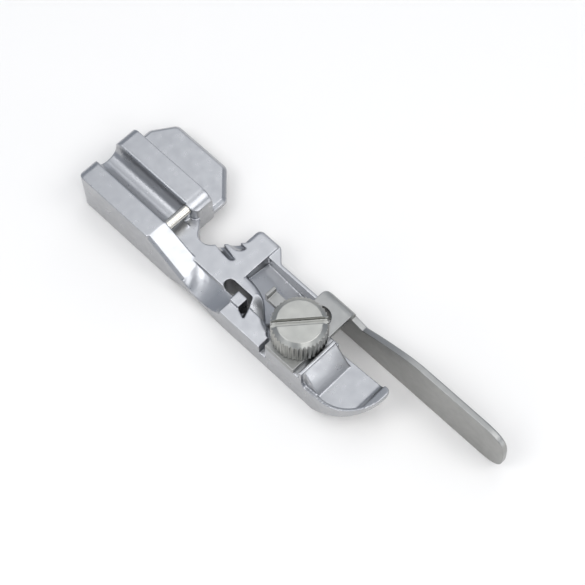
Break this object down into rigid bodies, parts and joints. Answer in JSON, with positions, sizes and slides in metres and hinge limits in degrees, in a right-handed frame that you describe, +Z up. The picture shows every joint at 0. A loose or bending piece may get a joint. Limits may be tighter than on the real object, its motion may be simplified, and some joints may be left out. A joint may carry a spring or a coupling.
{
  "type": "presser foot with adjustable guide",
  "caption": "Overlock blind-hem presser foot with a clip-on crossbar, a dished toe, and a folded guide finger that slides sideways under a knurled clamp screw.",
  "frame": {"origin": "on the sole, straight under the middle of the clip-on crossbar and the groove", "axes": "+Y along the foot to its rear, -Y to the toe, +X to the operator's right, +Z up from the sole"},
  "size_m": [0.0169, 0.0687, 0.0112],
  "materials": {
    "foot_body": "satin plated casting",
    "crossbar_pin": "bright ground pin",
    "guide_bracket": "satin plated sheet",
    "thumb_screw": "nickel plated, turned and knurled"
  },
  "bodies": {
    "foot": {"foot_body": "foot_body", "crossbar_pin": "crossbar_pin"},
    "guide": {"guide_bracket": "guide_bracket"},
    "screw": {"thumb_screw": "thumb_screw"}
  },
  "joints": [
    {"name": "guide_slide", "type": "slide", "parent": "foot", "child": "guide", "axis": [1, 0, 0], "range_m": [-0.0028, 0.001]},
    {"name": "clamp_turn", "type": "hinge", "parent": "foot", "child": "screw", "pos_m": [-0.00103, -0.02435, 0.0071], "axis": [0, 0, 1], "range_deg": [0, 720]}
  ]
}
